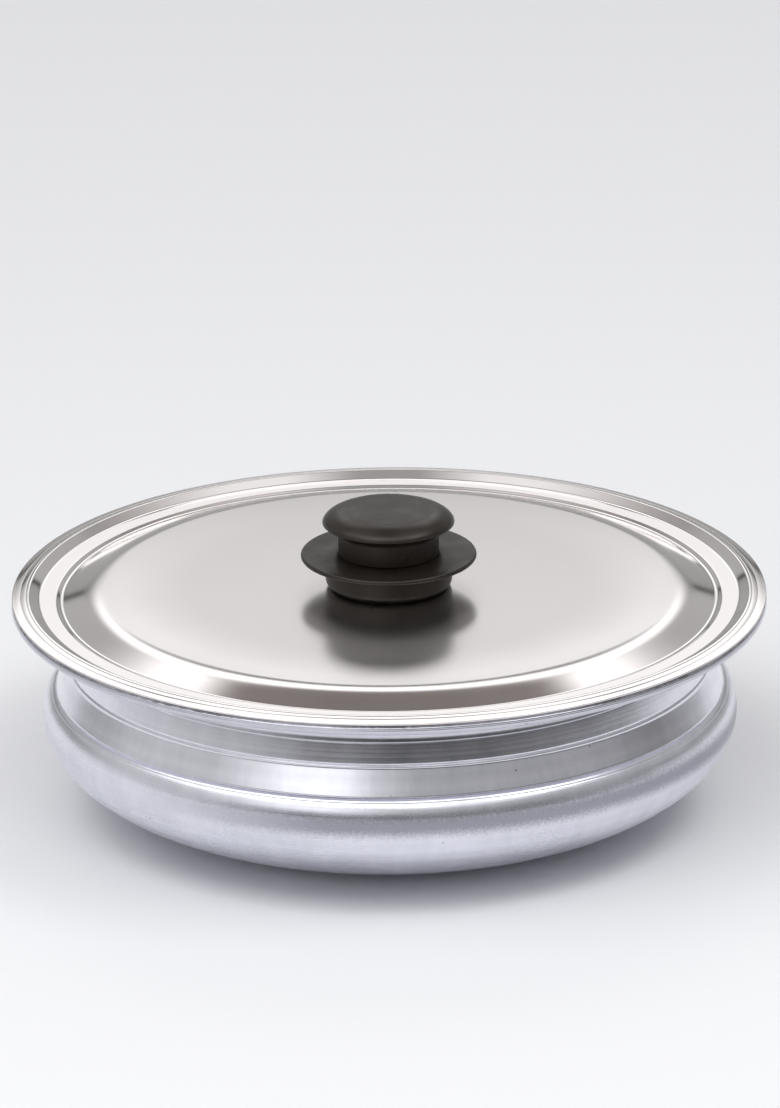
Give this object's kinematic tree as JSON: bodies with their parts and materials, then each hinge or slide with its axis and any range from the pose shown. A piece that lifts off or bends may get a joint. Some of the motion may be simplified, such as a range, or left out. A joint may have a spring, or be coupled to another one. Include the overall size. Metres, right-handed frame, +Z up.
{
  "type": "uruli pot",
  "caption": "Round-bellied aluminium cooking pot with a flared rolled rim, beaded neck and flat base, covered by a stepped pressed-steel lid with a screwed-on bakelite knob.",
  "frame": {"origin": "centre of the pot's flat base, on the surface it stands on", "axes": "+Z up along the axis of the pot, lid and knob; +X to the right and +Y away from the viewer in the picture"},
  "size_m": [0.2804, 0.2804, 0.1157],
  "materials": {
    "pot_aluminium": "turned and satin polished",
    "lid_steel": "mirror polished stainless steel sheet",
    "bakelite": "satin black moulded bakelite",
    "brass": "plain turned",
    "zinc_plate": "bright zinc plated"
  },
  "bodies": {
    "pot": {"pot_body": "pot_aluminium"},
    "lid": {"lid_plate": "lid_steel", "knob_foot": "bakelite", "heat_guard": "bakelite", "knob_grip": "bakelite", "threaded_insert": "brass", "flat_washer": "zinc_plate", "spring_washer": "zinc_plate", "knob_screw": "zinc_plate"}
  },
  "joints": [
    {"name": "lid_lift", "type": "slide", "parent": "pot", "child": "lid", "axis": [0, 0, 1], "range_m": [0, 0.2]}
  ]
}
